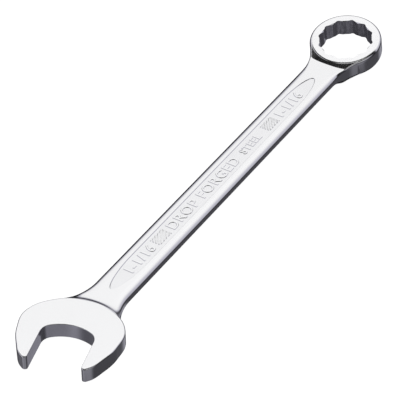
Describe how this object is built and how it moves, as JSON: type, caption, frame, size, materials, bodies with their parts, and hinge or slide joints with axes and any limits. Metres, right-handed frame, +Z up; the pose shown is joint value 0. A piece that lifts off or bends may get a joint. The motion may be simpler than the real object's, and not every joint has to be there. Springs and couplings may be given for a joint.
{
  "type": "combination wrench",
  "caption": "Forged combination wrench: angled open end at one end, offset 12-point box end at the other, flat crowned shank with a recessed panel.",
  "frame": {"origin": "under the middle of the tool, level with the faces it lies on", "axes": "+X along the shank from the open end to the box end, +Z up out of the tool's flat side"},
  "size_m": [0.3182, 0.0528, 0.0167],
  "materials": {
    "satin_chrome": "satin chrome plate over a polished forging"
  },
  "bodies": {
    "root": {"forged_wrench_body": "satin_chrome"}
  },
  "joints": []
}
